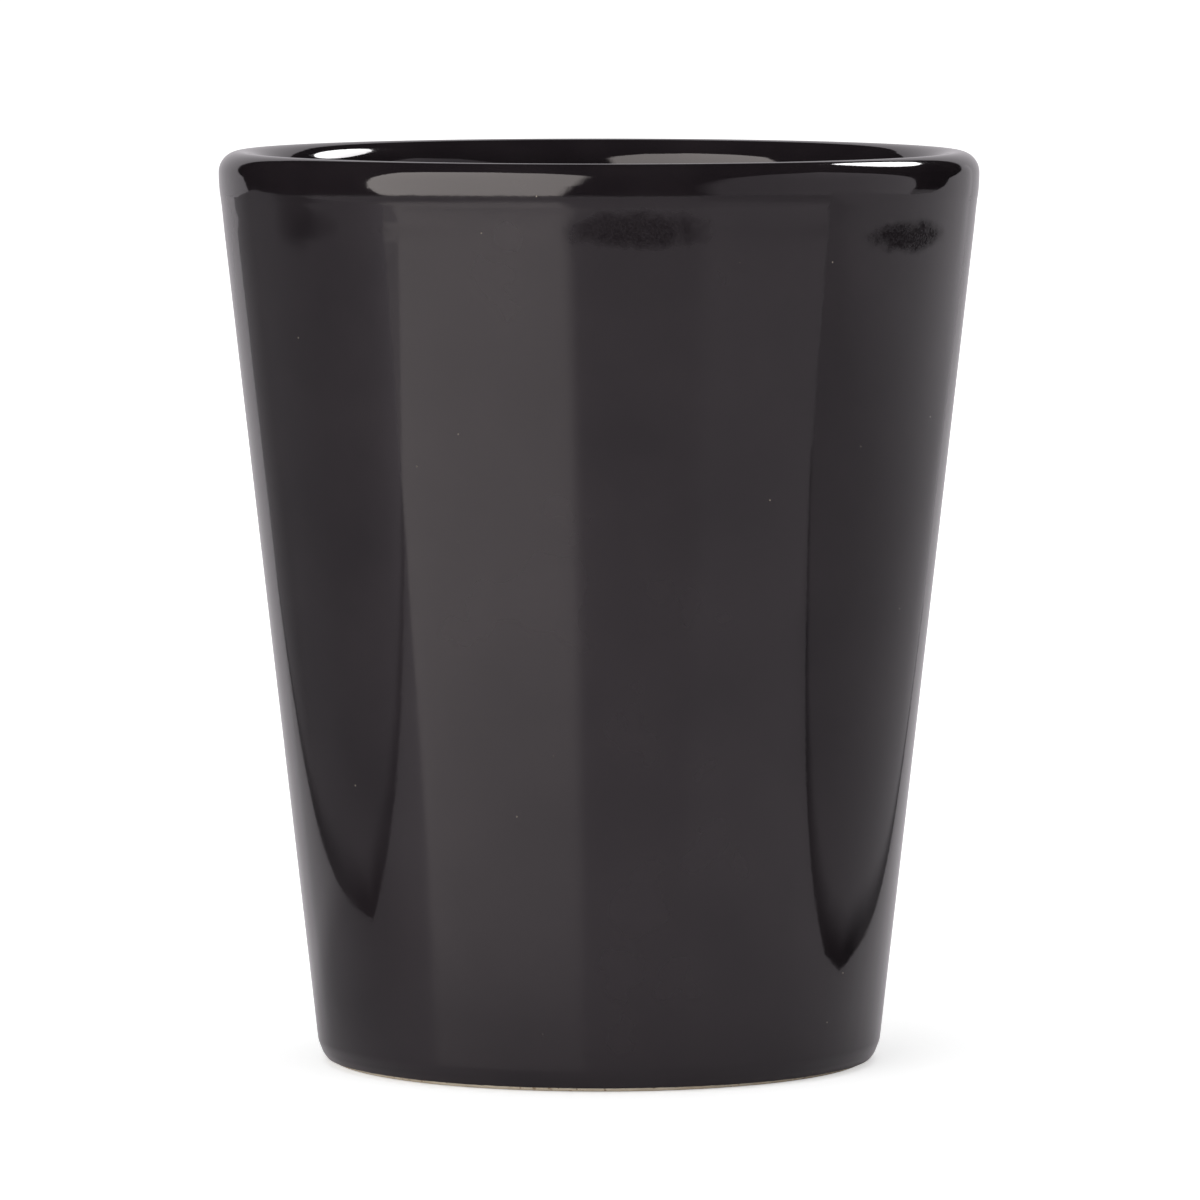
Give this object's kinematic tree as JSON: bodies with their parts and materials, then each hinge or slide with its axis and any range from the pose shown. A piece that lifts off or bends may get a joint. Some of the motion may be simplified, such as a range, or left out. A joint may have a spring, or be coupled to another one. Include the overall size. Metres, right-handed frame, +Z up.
{
  "type": "ceramic shot cup",
  "caption": "Small tapered cup without a handle, fired clay under glossy black glaze inside and out, with a rounded lip and a bare clay foot ring, for serving a short drink.",
  "frame": {"origin": "centre of the foot ring, on the surface that the cup stands on", "axes": "+Z up along the turning axis, from the foot to the open lip; X and Y are alike"},
  "size_m": [0.0476, 0.0476, 0.0571],
  "materials": {
    "bare_clay": "matte",
    "outside_glaze": "polished",
    "inside_glaze": "polished",
    "underside_glaze": "polished"
  },
  "bodies": {
    "root": {"clay_body": "bare_clay", "outer_glaze": "outside_glaze", "liner_glaze": "inside_glaze", "base_glaze": "underside_glaze"}
  },
  "joints": []
}
